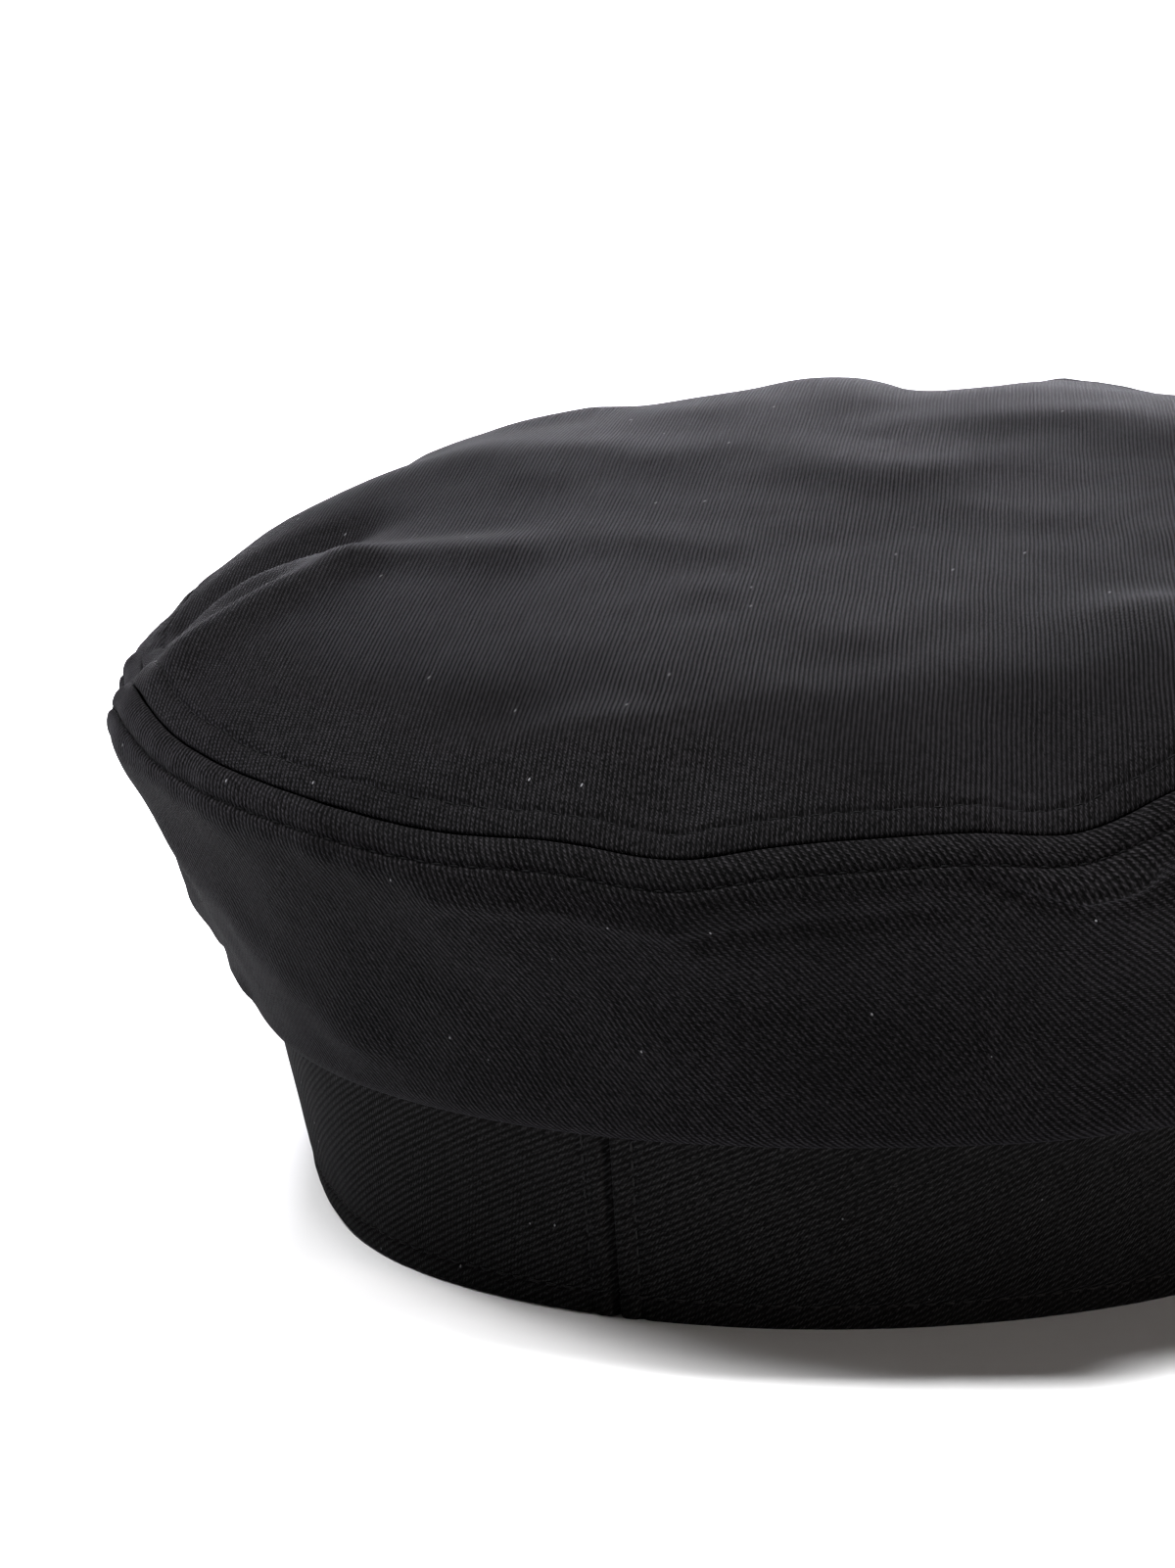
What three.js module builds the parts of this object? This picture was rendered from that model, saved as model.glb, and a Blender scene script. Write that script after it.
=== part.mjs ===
// A soft sailor cap without a peak, sewn from black cotton twill and lying on its band.
// Three pieces of cloth make it: a round top panel, a side panel that slopes down and in from
// the rim and rolls over the band, and an upright band whose ends meet in a seam at the centre
// back. The crown is hollow and open below, where the head goes in.
// Millimetres. +Y is the cap's front, -Y its centre back, and Z = 0 the surface it lies on.
// Angles are in degrees from the centre back, anticlockwise seen from above, so 90 is +X.

import * as THREE from "three";

// Band
const head_length = 192; // outside of the band's lower edge, front to back
const head_width = 180;
const band_height = 38;
const band_flare = 6; // how far the band leans out between its lower edge and its top
const band_wall = 2.4; // two layers of cloth
const band_give = 1.6; // how far the soft band strays from a true oval
const band_chamfer = 0.5; // rounding of the band's folded lower edge
const allowance_width = 8; // seam allowance pressed flat inside, each side of the back seam
const allowance_wall = 0.9;
const back_groove_width = 2;
const back_groove_depth = 0.8;

// Crown
const crown_reach_ends = 23; // how far the rim seam reaches past the band, front and back
const crown_reach_sides = 27;
const rise_back = 42.5; // from the band's top to the rim seam, at the back
const rise_front = 59;
const rim_lean = 5; // how much higher than the middle the right side's rim sits
const rim_wave = 4; // how far the soft rim rises and dips
const rim_stray = 3.4; // how far it strays in and out
const cloth_wall = 1.2;
const seam_margin = 6; // from the rim seam to each row of stitching
const seam_puff = 0.7; // how far the doubled margin stands up
const margin_wall = 2.4; // cloth and pressed-open allowance beside the rim seam
const dome_rise = 17; // from the rim seam to the middle of the top
const shoulder = 18; // how quickly the top levels off inside the rim
const fold_height = 4;
const side_bulge = 3.4; // how far the side swells past the rim seam
const side_fold_depth = 2.2;

// Roll of the side panel over the band
const overhang = 5.6; // how far the roll stands out from the band
const roll_drop = 6.5; // how far it hangs below the band's top
const piece_gap = 0.35; // between two pieces that are sewn together

const columns_round = 84; // sections round the cap
const wave_power = 6; // how quickly the rim's waves die away towards the middle
const fold_fade = 0.06; // share of the rim's radius in which a fold flattens into the seam
const radians = Math.PI / 180;

// How the rim seam rises and dips, as shares of rim_wave, and strays in or out, as shares of
// rim_stray.
const rim_rows = [
  { angle: -174, lift: 1.2, out: 0.0 },
  { angle: -164, lift: 0.0, out: 0.0 },
  { angle: -155, lift: 0.9, out: 0.1 },
  { angle: -140, lift: 0.1, out: 0.0 },
  { angle: -120, lift: 0.2, out: 0.0 },
  { angle: -103, lift: -0.7, out: 0.0 },
  { angle: -90, lift: -0.8, out: 0.2 },
  { angle: -76, lift: -1.2, out: 0.2 },
  { angle: -63, lift: -0.7, out: -0.7 },
  { angle: -50, lift: 1.1, out: 0.0 },
  { angle: -36, lift: 0.95, out: 0.1 },
  { angle: -21, lift: 0.75, out: 0.0 },
  { angle: -7, lift: 0.1, out: 0.0 },
  { angle: 3, lift: 0.1, out: 0.0 },
  { angle: 12, lift: -0.3, out: 0.1 },
  { angle: 24, lift: 0.35, out: 0.0 },
  { angle: 33, lift: 0.4, out: 0.0 },
  { angle: 41, lift: -0.1, out: 0.0 },
  { angle: 50, lift: 1.0, out: -0.2 },
  { angle: 64, lift: 1.0, out: 0.0 },
  { angle: 80, lift: 0.2, out: 0.1 },
  { angle: 97, lift: -0.5, out: 0.0 },
  { angle: 113, lift: 0.5, out: -0.1 },
  { angle: 131, lift: -0.3, out: 0.1 },
  { angle: 150, lift: 0.3, out: 0.0 },
  { angle: 168, lift: 0.1, out: 0.0 },
];

// How far the roll hangs, as shares of roll_drop, and stands out, as shares of overhang.
const roll_rows = [
  { angle: -150, droop: 0.9, out: 1.0 },
  { angle: -115, droop: 1.2, out: 1.05 },
  { angle: -85, droop: 1.3, out: 0.95 },
  { angle: -64, droop: 1.4, out: 0.66 },
  { angle: -46, droop: 1.15, out: 0.72 },
  { angle: -28, droop: 1.05, out: 0.9 },
  { angle: -5, droop: 0.95, out: 1.0 },
  { angle: 25, droop: 0.9, out: 1.0 },
  { angle: 50, droop: 1.05, out: 1.0 },
  { angle: 85, droop: 1.2, out: 0.95 },
  { angle: 125, droop: 0.95, out: 1.05 },
  { angle: 170, droop: 1.0, out: 1.0 },
];

// Where the band is pressed in or out, as shares of band_give, and how much it leans out, as
// shares of band_flare.
const band_rows = [
  { angle: -150, out: 0.3, flare: 1.0 },
  { angle: -100, out: -0.9, flare: 1.2 },
  { angle: -66, out: -2.6, flare: 1.6 },
  { angle: -46, out: -1.3, flare: 1.35 },
  { angle: -24, out: 0.4, flare: 1.0 },
  { angle: 3, out: -0.2, flare: 1.0 },
  { angle: 24, out: -1.0, flare: 1.0 },
  { angle: 42, out: -0.9, flare: 1.0 },
  { angle: 62, out: -0.1, flare: 0.9 },
  { angle: 100, out: 0.4, flare: 0.9 },
  { angle: 150, out: -0.3, flare: 1.0 },
];

// Folds of the top, each along a straight line in plan. Reaches and widths are shares of the
// rim's radius, heights shares of fold_height, and a fold with a height below zero is a dent.
const top_folds = [
  { angle: -47, reach: 1.0, to_angle: -60, to_reach: 0.72, width: 0.06, height: 0.7 },
  { angle: -66, reach: 0.84, to_angle: -56, to_reach: 0.5, width: 0.07, height: 0.4 },
  { angle: -72, reach: 0.98, to_angle: -78, to_reach: 0.74, width: 0.07, height: -1.0 },
  { angle: -92, reach: 0.9, to_angle: -104, to_reach: 0.72, width: 0.1, height: 0.6 },
  { angle: -106, reach: 0.7, to_angle: 172, to_reach: 0.2, width: 0.1, height: 0.4 },
  { angle: -166, reach: 0.84, to_angle: -180, to_reach: 0.84, width: 0.13, height: -1.5 },
  { angle: 176, reach: 0.5, to_angle: 150, to_reach: 0.62, width: 0.1, height: 0.3 },
  { angle: 150, reach: 0.9, to_angle: 112, to_reach: 0.88, width: 0.07, height: -0.8 },
  { angle: 10, reach: 0.98, to_angle: 12, to_reach: 0.9, width: 0.06, height: -0.7 },
  { angle: 38, reach: 0.98, to_angle: 40, to_reach: 0.86, width: 0.06, height: -0.7 },
  { angle: -8, reach: 0.92, to_angle: 4, to_reach: 0.83, width: 0.06, height: 0.3 },
  { angle: 52, reach: 0.96, to_angle: 62, to_reach: 0.66, width: 0.08, height: 0.6 },
  { angle: 92, reach: 0.97, to_angle: 100, to_reach: 0.6, width: 0.07, height: -0.8 },
];

// Soft folds of the side, each along a line from one angle and level to another. Levels run
// from 0 at the roll to 1 at the rim, widths are shares of the side's height, and depths are
// shares of side_fold_depth, with those below zero pressed in.
const side_folds = [
  { angle: -64, level: 0.1, to_angle: -50, to_level: 0.35, width: 0.16, depth: 0.7 },
  { angle: -45, level: 0.9, to_angle: -18, to_level: 0.15, width: 0.16, depth: 0.55 },
  { angle: -15, level: 0.8, to_angle: 0, to_level: 0.4, width: 0.2, depth: -0.5 },
  { angle: 10, level: 0.6, to_angle: 40, to_level: 0.45, width: 0.2, depth: -0.6 },
  { angle: 42, level: 1.0, to_angle: 50, to_level: 0.7, width: 0.14, depth: 0.8 },
  { angle: 75, level: 0.8, to_angle: 95, to_level: 0.3, width: 0.18, depth: -0.6 },
  { angle: 120, level: 0.8, to_angle: 140, to_level: 0.2, width: 0.2, depth: 0.6 },
  { angle: 170, level: 0.7, to_angle: -165, to_level: 0.3, width: 0.2, depth: -0.6 },
  { angle: -110, level: 0.85, to_angle: -125, to_level: 0.3, width: 0.18, depth: 0.6 },
  { angle: -82, level: 0.8, to_angle: -90, to_level: 0.35, width: 0.16, depth: -0.6 },
];

// The difference between two angles, from -180 to 180.
function turnBetween(from, to) {
  return ((((to - from + 180) % 360) + 360) % 360) - 180;
}

// A column of a table of angles at any angle, on a smooth closed curve through the rows.
function along(rows, column, angle) {
  const count = rows.length;
  let i = rows.findIndex((row, k) => {
    const span = turnBetween(row.angle, rows[(k + 1) % count].angle);
    const past = turnBetween(row.angle, angle);
    return past >= 0 && past < span;
  });
  if (i < 0) i = count - 1;
  const row = (k) => rows[(k + count) % count];
  const gap = (k) => turnBetween(row(k).angle, row(k + 1).angle);
  const slope = (k) =>
    (row(k + 1)[column] - row(k - 1)[column]) / (gap(k - 1) + gap(k));
  const span = gap(i);
  const t = turnBetween(row(i).angle, angle) / span;
  const a = row(i)[column];
  const b = row(i + 1)[column];
  return (
    a * (2 * t ** 3 - 3 * t ** 2 + 1) +
    slope(i) * span * (t ** 3 - 2 * t ** 2 + t) +
    b * (3 * t ** 2 - 2 * t ** 3) +
    slope(i + 1) * span * (t ** 3 - t ** 2)
  );
}

// The distance from a point to the line between two others, in a plane.
function distanceToLine(px, py, ax, ay, bx, by) {
  const lengthSquared = (bx - ax) ** 2 + (by - ay) ** 2;
  const share = ((px - ax) * (bx - ax) + (py - ay) * (by - ay)) / lengthSquared;
  const t = Math.min(1, Math.max(0, share));
  return Math.hypot(px - ax - t * (bx - ax), py - ay - t * (by - ay));
}

function ovalRadius(length, width, angle) {
  const across = Math.sin(angle * radians) / (width / 2);
  const lengthways = Math.cos(angle * radians) / (length / 2);
  return 1 / Math.hypot(across, lengthways);
}

function bandRadius(angle, z) {
  const give = band_give * along(band_rows, "out", angle);
  const lean = (band_flare * along(band_rows, "flare", angle) * z) / band_height;
  return ovalRadius(head_length, head_width, angle) + give + lean;
}

function rimRadius(angle) {
  const length = head_length + 2 * crown_reach_ends;
  const width = head_width + 2 * crown_reach_sides;
  return ovalRadius(length, width, angle) + rim_stray * along(rim_rows, "out", angle);
}

// The tilt of the crown: higher in front than behind, and on the right than on the left.
function crownLevel(angle, share) {
  const forward = -Math.cos(angle * radians) * share;
  const right = Math.sin(angle * radians) * share;
  const middle = band_height + (rise_front + rise_back) / 2;
  return middle + ((rise_front - rise_back) / 2) * forward + rim_lean * right;
}

function rimHeight(angle) {
  return crownLevel(angle, 1) + rim_wave * along(rim_rows, "lift", angle);
}

// How far the folds raise the top at an angle and a share of the rim's radius.
function topFoldHeight(angle, share) {
  const x = share * Math.sin(angle * radians);
  const y = -share * Math.cos(angle * radians);
  let height = 0;
  for (const fold of top_folds) {
    const distance = distanceToLine(
      x,
      y,
      fold.reach * Math.sin(fold.angle * radians),
      -fold.reach * Math.cos(fold.angle * radians),
      fold.to_reach * Math.sin(fold.to_angle * radians),
      -fold.to_reach * Math.cos(fold.to_angle * radians),
    );
    height += fold_height * fold.height * Math.exp(-((distance / fold.width) ** 2));
  }
  return height;
}

// How far the folds press the side out at an angle and a level.
function sideFoldDepth(angle, level) {
  const degree = (rimRadius(angle) * radians) / ((rise_front + rise_back) / 2);
  let depth = 0;
  for (const fold of side_folds) {
    const turned = turnBetween(fold.angle, fold.to_angle);
    const distance = distanceToLine(
      turnBetween(fold.angle, angle) * degree,
      level,
      0,
      fold.level,
      turned * degree,
      fold.to_level,
    );
    depth += side_fold_depth * fold.depth * Math.exp(-((distance / fold.width) ** 2));
  }
  return depth;
}

// A wall from its outer face: each point of a section goes in by its own wall, square to the
// face. The face runs with the cloth on its right-hand side.
function wallSection(face) {
  const inner = face.map((point, i) => {
    const before = face[Math.max(0, i - 1)];
    const after = face[Math.min(face.length - 1, i + 1)];
    const along_r = after.r - before.r;
    const along_z = after.z - before.z;
    const length = Math.hypot(along_r, along_z);
    return {
      r: point.r + (point.wall * along_z) / length,
      z: point.z - (point.wall * along_r) / length,
    };
  });
  return [...inner, ...face.reverse()];
}

// The top's outer face in one section, from the middle out to the rim seam. The first rows
// are shares of the rim's radius, the last ones shares of seam_margin inside the seam, of
// seam_puff, and of the margin's extra wall.
const top_shares = [0, 0.16, 0.32, 0.48, 0.62, 0.74, 0.83];
const top_margin_rows = [
  { inward: 1.85, puff: 0.0, doubled: 0.0 },
  { inward: 1.22, puff: 0.1, doubled: 0.4 },
  { inward: 0.92, puff: -0.7, doubled: 1.0 },
  { inward: 0.57, puff: 0.6, doubled: 1.0 },
  { inward: 0.2, puff: 0.5, doubled: 0.6 },
  { inward: 0.0, puff: -0.6, doubled: 0.1 },
];

function topSection(angle) {
  const radius = rimRadius(angle);
  const wave = rimHeight(angle) - crownLevel(angle, 1);
  const surface = (r) => {
    const share = r / radius;
    const rise = dome_rise * (1 - Math.exp(-(radius - r) / shoulder));
    const folds = topFoldHeight(angle, share) * Math.min(1, (1 - share) / fold_fade);
    return crownLevel(angle, share) + wave * share ** wave_power + rise + folds;
  };
  const middle = top_shares.map((share) => ({
    r: share * radius,
    z: surface(share * radius),
    wall: cloth_wall,
  }));
  middle[0].z = crownLevel(0, 0) + dome_rise + topFoldHeight(0, 0);
  const margin = top_margin_rows.map((row) => {
    const r = radius - piece_gap / 2 - row.inward * seam_margin;
    return {
      r,
      z: surface(r) + row.puff * seam_puff,
      wall: cloth_wall + row.doubled * (margin_wall - cloth_wall),
    };
  });
  const section = wallSection([...middle, ...margin]);
  section[0] = { r: 0, z: middle[0].z - cloth_wall };
  return section;
}

// The side's outer face beside the rim seam: how far down, as shares of seam_margin, how far
// out, as shares of side_bulge and of seam_puff, and how much of the margin's extra wall.
const side_margin_rows = [
  { down: 0.08, out: 0.0, puff: 0.0, doubled: 0.1 },
  { down: 0.2, out: 0.42, puff: 0.2, doubled: 0.6 },
  { down: 0.45, out: 0.8, puff: 0.5, doubled: 1.0 },
  { down: 0.75, out: 1.0, puff: 0.4, doubled: 1.0 },
  { down: 1.0, out: 1.0, puff: -0.5, doubled: 1.0 },
  { down: 1.35, out: 0.95, puff: 0.0, doubled: 0.3 },
];
const side_levels = [0.82, 0.64, 0.46, 0.28, 0.12];

// The side's outer face round the roll: how far out from the band, as shares of overhang, and
// how far up from the lowest point, as shares of roll_drop.
const roll_face_rows = [
  { out: 1.18, up: 0.75 },
  { out: 1.0, up: 0.28 },
  { out: 0.58, up: 0.0 },
  { out: 0.16, up: 0.3 },
];

function sideSection(angle) {
  const radius = rimRadius(angle) + piece_gap / 2;
  const height = rimHeight(angle);
  const droop = roll_drop * along(roll_rows, "droop", angle);
  const stand = overhang * along(roll_rows, "out", angle);
  const lowest = band_height - droop;
  const roll = roll_face_rows.map((row) => {
    const z = lowest + row.up * roll_drop;
    return { r: bandRadius(angle, z) + row.out * stand, z, wall: cloth_wall };
  });
  const margin = side_margin_rows.map((row) => ({
    r: radius + row.out * side_bulge + row.puff * seam_puff,
    z: height - row.down * seam_margin,
    wall: cloth_wall + row.doubled * (margin_wall - cloth_wall),
  }));
  const upper = margin[margin.length - 1];
  const lower = roll[0];
  const slope = side_levels.map((level) => ({
    r: lower.r + level * (upper.r - lower.r) + sideFoldDepth(angle, level),
    z: lower.z + level * (upper.z - lower.z),
    wall: cloth_wall,
  }));
  // Up beside the band, round its outer corner and in over its top edge, piece_gap clear.
  const corner = bandRadius(angle, band_height);
  const clear = piece_gap * Math.SQRT1_2;
  const beside = (lowest + band_height) / 2;
  const tuck = [
    { r: bandRadius(angle, beside) + piece_gap, z: beside, wall: cloth_wall },
    { r: corner + clear, z: band_height + clear, wall: cloth_wall },
    { r: corner - band_wall, z: band_height + piece_gap, wall: cloth_wall },
  ];
  return wallSection([...margin, ...slope, ...roll, ...tuck]);
}

// The band's section: its folded lower edge rests flat, and the allowances of the back seam
// thicken its inside.
function bandSection(angle) {
  const arc = Math.abs(turnBetween(0, angle)) * radians * bandRadius(0, 0);
  const groove = back_groove_depth * Math.max(0, 1 - (2 * arc) / back_groove_width);
  const past = Math.max(0, arc - allowance_width) / allowance_wall;
  const wall = band_wall + allowance_wall * Math.max(0, 1 - past);
  const outer = (z) => bandRadius(angle, z) - groove;
  const inner = (z) => bandRadius(angle, z) - wall;
  return [
    { r: outer(0) - band_chamfer, z: 0 },
    { r: outer(band_chamfer), z: band_chamfer },
    { r: outer(band_height / 2), z: band_height / 2 },
    { r: outer(band_height), z: band_height },
    { r: inner(band_height), z: band_height },
    { r: inner(band_height / 2), z: band_height / 2 },
    { r: inner(band_chamfer), z: band_chamfer },
    { r: inner(0) + band_chamfer, z: 0 },
  ];
}

function evenAngles(count) {
  return Array.from({ length: count }, (_, i) => (360 * i) / count - 180);
}

// Even angles, with extra ones at the edges of the back seam's groove and allowances.
function bandAngles() {
  const degree = bandRadius(0, 0) * radians;
  const last = allowance_width + allowance_wall;
  const edges = [back_groove_width / 2, allowance_width, last].map((arc) => arc / degree);
  const clear = last / degree + 180 / columns_round;
  const even = evenAngles(columns_round).filter((angle) => Math.abs(angle) > clear);
  return [...even, ...edges.map((edge) => -edge), 0, ...edges].sort((a, b) => a - b);
}

// A ring or disc lofted through sections: a lathe of the first section, whose points are then
// set section by section.
function loft(sectionAt, angles, closed) {
  const profile = sectionAt(angles[0]);
  if (closed) profile.push(profile[0]);
  const shape = profile.map((point) => new THREE.Vector2(point.r, point.z));
  const geometry = new THREE.LatheGeometry(shape, angles.length);
  const position = geometry.getAttribute("position");
  for (let i = 0; i <= angles.length; i += 1) {
    const angle = angles[i % angles.length];
    const section = sectionAt(angle);
    if (closed) section.push(section[0]);
    section.forEach((point, j) => {
      const x = point.r * Math.sin(angle * radians);
      const y = -point.r * Math.cos(angle * radians);
      position.setXYZ(i * section.length + j, x, y, point.z);
    });
  }
  geometry.computeVertexNormals();
  return geometry;
}

function clothPiece(name, geometry, color) {
  const material = new THREE.MeshStandardMaterial({ color, roughness: 0.9, metalness: 0 });
  const mesh = new THREE.Mesh(geometry, material);
  mesh.name = name;
  return mesh;
}

const cap = new THREE.Group();
const round = evenAngles(columns_round);
cap.add(
  clothPiece("top_panel", loft(topSection, round, false), 0x2d2b2e),
  clothPiece("side_panel", loft(sideSection, round, true), 0x1b1a1d),
  clothPiece("headband", loft(bandSection, bandAngles(), true), 0x121212),
);

// The origin is the middle of the space that the cap takes up, on the surface it lies on.
const bounds = new THREE.Box3().setFromObject(cap);
const centre = bounds.getCenter(new THREE.Vector3());
cap.children.forEach((piece) => piece.position.set(-centre.x, -centre.y, 0));

export default cap;
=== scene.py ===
import math
from functools import lru_cache

import bmesh
import bpy
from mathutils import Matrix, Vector, noise


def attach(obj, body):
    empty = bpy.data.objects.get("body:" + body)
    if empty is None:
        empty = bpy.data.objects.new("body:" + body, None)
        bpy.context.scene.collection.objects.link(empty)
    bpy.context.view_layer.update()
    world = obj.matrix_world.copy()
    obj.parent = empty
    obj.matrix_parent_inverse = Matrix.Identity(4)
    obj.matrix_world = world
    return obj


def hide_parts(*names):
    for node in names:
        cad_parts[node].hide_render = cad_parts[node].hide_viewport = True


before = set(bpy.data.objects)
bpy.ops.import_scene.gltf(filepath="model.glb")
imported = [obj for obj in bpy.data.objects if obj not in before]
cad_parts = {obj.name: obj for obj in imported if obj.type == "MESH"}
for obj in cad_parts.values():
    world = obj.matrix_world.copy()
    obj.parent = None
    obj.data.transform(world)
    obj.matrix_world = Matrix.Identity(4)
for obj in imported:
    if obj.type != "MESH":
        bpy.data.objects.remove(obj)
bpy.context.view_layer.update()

# Top panel
# One round disc of washed black cotton twill, puffed a little over the hollow crown. Its edge is
# sewn to the side panel, and the allowance is pressed back under it and held by topstitching.

mm = 0.001  # sizes are in millimetres until a mesh is placed
# Angles are degrees from the centre back, anticlockwise from above, so 90 is the +X side.
cap_middle = Vector((0.25, -0.01))  # where the band's middle stands
head_length = 192
head_width = 180
band_height = 38
crown_reach_ends = 23
crown_reach_sides = 27
rise_back = 42.5
rise_front = 59
rim_lean = 5
rim_wave = 4
rim_stray = 3.4
piece_gap = 0.35
dome_rise = 17
shoulder = 18
fold_height = 4
wave_power = 6
fold_fade = 0.06

cloth_thickness = 0.6
edge_round = 0.62  # radius of the cloth's turn into a seam
allowance = 5.4
stitch_margin = 5.0  # along the cloth from a seam to its row of stitching
rim_steepness = math.hypot(1, dome_rise / shoulder)  # cloth along the top's slope at its rim
columns = 480

# How the rim seam rises and dips, as shares of rim_wave, and strays in or out, as shares of
# rim_stray.
rim_rows = [
    {"angle": -174, "lift": 1.2, "out": 0.0},
    {"angle": -164, "lift": 0.0, "out": 0.0},
    {"angle": -155, "lift": 0.9, "out": 0.1},
    {"angle": -140, "lift": 0.1, "out": 0.0},
    {"angle": -120, "lift": 0.2, "out": 0.0},
    {"angle": -103, "lift": -1.05, "out": 0.2},
    {"angle": -90, "lift": -1.05, "out": 0.6},
    {"angle": -76, "lift": -1.2, "out": 0.45},
    {"angle": -63, "lift": -0.7, "out": -0.7},
    {"angle": -50, "lift": 1.1, "out": 0.0},
    {"angle": -36, "lift": 0.78, "out": 0.1},
    {"angle": -21, "lift": 0.58, "out": 0.0},
    {"angle": -7, "lift": 0.28, "out": 0.0},
    {"angle": 3, "lift": 0.4, "out": 0.0},
    {"angle": 12, "lift": -0.08, "out": 0.1},
    {"angle": 19, "lift": 0.36, "out": 0.0},
    {"angle": 25, "lift": 0.52, "out": 0.0},
    {"angle": 33, "lift": 0.42, "out": 0.0},
    {"angle": 41, "lift": -0.1, "out": 0.0},
    {"angle": 50, "lift": 0.92, "out": -0.2},
    {"angle": 64, "lift": 1.0, "out": 0.0},
    {"angle": 80, "lift": 0.2, "out": 0.1},
    {"angle": 97, "lift": -0.5, "out": 0.0},
    {"angle": 113, "lift": 0.5, "out": -0.1},
    {"angle": 131, "lift": -0.3, "out": 0.1},
    {"angle": 150, "lift": 0.3, "out": 0.0},
    {"angle": 168, "lift": 0.1, "out": 0.0},
]

# Folds of the top, each along a straight line in plan. Reaches and widths are shares of the
# rim's radius, heights shares of fold_height, and one below zero is a dent.
top_folds = [
    {"angle": -47, "reach": 1.0, "to_angle": -60, "to_reach": 0.72, "width": 0.06, "height": 0.7},
    {"angle": -66, "reach": 0.84, "to_angle": -56, "to_reach": 0.5, "width": 0.07, "height": 0.4},
    {"angle": -72, "reach": 0.98, "to_angle": -78, "to_reach": 0.74, "width": 0.07, "height": -1},
    {"angle": -92, "reach": 0.9, "to_angle": -104, "to_reach": 0.72, "width": 0.1, "height": 0.25},
    {"angle": -106, "reach": 0.7, "to_angle": 172, "to_reach": 0.2, "width": 0.13, "height": 0.28},
    {"angle": -128, "reach": 0.88, "to_angle": -110, "to_reach": 0.87, "width": 0.065, "height": 0.45},
    {"angle": -163, "reach": 0.9, "to_angle": -165, "to_reach": 0.8, "width": 0.05, "height": -0.25},
    {"angle": -165, "reach": 0.84, "to_angle": -182, "to_reach": 0.84, "width": 0.13, "height": -0.55},
    {"angle": 176, "reach": 0.5, "to_angle": 150, "to_reach": 0.62, "width": 0.1, "height": 0.3},
    {"angle": 150, "reach": 0.9, "to_angle": 112, "to_reach": 0.88, "width": 0.07, "height": -0.8},
    {"angle": 10, "reach": 0.98, "to_angle": 12, "to_reach": 0.9, "width": 0.06, "height": -0.4},
    {"angle": 38, "reach": 0.98, "to_angle": 40, "to_reach": 0.86, "width": 0.06, "height": -0.4},
    {"angle": -8, "reach": 0.92, "to_angle": 4, "to_reach": 0.83, "width": 0.06, "height": 0.3},
    {"angle": 52, "reach": 0.96, "to_angle": 62, "to_reach": 0.66, "width": 0.08, "height": 0.6},
    {"angle": 92, "reach": 0.97, "to_angle": 100, "to_reach": 0.6, "width": 0.07, "height": -0.8},
]


def turn_between(start, end):
    """The difference between two angles, from -180 to 180."""
    return (end - start + 180) % 360 - 180


def ease(start, start_slope, end, end_slope, span, t):
    """A smooth step from start to end over a span, at a share t of it."""
    return (
        start * (2 * t**3 - 3 * t**2 + 1)
        + start_slope * (span * (t**3 - 2 * t**2 + t))
        + end * (3 * t**2 - 2 * t**3)
        + end_slope * (span * (t**3 - t**2))
    )


def along(rows, column, angle):
    """A column of a table of angles, on a smooth closed curve through its rows."""
    count = len(rows)
    at = count - 1
    for i, row in enumerate(rows):
        span = turn_between(row["angle"], rows[(i + 1) % count]["angle"])
        if 0 <= turn_between(row["angle"], angle) < span:
            at = i
    before, here, after, beyond = (rows[(at + k) % count] for k in (-1, 0, 1, 2))
    span = turn_between(here["angle"], after["angle"])
    span_before = turn_between(before["angle"], here["angle"])
    span_beyond = turn_between(after["angle"], beyond["angle"])
    slope_here = (after[column] - before[column]) / (span_before + span)
    slope_after = (beyond[column] - here[column]) / (span + span_beyond)
    t = turn_between(here["angle"], angle) / span
    return ease(here[column], slope_here, after[column], slope_after, span, t)


def plan(angle, r):
    """A point in plan at an angle and a distance from the band's middle."""
    return Vector((r * math.sin(math.radians(angle)), -r * math.cos(math.radians(angle))))


def distance_to_line(point, start, end):
    """How far a point lies from the nearest spot between start and end."""
    line = end - start
    share = min(1, max(0, (point - start).dot(line) / line.length_squared))
    return (point - start - share * line).length


def oval_radius(length, width, angle):
    """How far an oval's edge is from its middle at an angle."""
    across = math.sin(math.radians(angle)) / (width / 2)
    lengthways = math.cos(math.radians(angle)) / (length / 2)
    return 1 / math.hypot(across, lengthways)


@lru_cache(None)
def rim_radius(angle):
    """How far out the rim seam runs at an angle."""
    length = head_length + 2 * crown_reach_ends
    width = head_width + 2 * crown_reach_sides
    return oval_radius(length, width, angle) + rim_stray * along(rim_rows, "out", angle)


def crown_level(angle, share):
    """The tilt of the crown: higher in front than behind, and on the right than on the left."""
    spot = plan(angle, share)
    middle = band_height + (rise_front + rise_back) / 2
    return middle + (rise_front - rise_back) / 2 * spot.y + rim_lean * spot.x


@lru_cache(None)
def rim_height(angle):
    """How high the rim seam runs at an angle."""
    return crown_level(angle, 1) + rim_wave * along(rim_rows, "lift", angle)


top_fold_lines = [
    (plan(fold["angle"], fold["reach"]), plan(fold["to_angle"], fold["to_reach"]), fold)
    for fold in top_folds
]


def top_fold_height(angle, share):
    """How far the folds lift the top at an angle and a share of the rim's radius."""
    spot = plan(angle, share)
    height = 0
    for start, end, fold in top_fold_lines:
        across = distance_to_line(spot, start, end) / fold["width"]
        if across < 3:
            height += fold_height * fold["height"] * math.exp(-(across**2))
    return height


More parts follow.
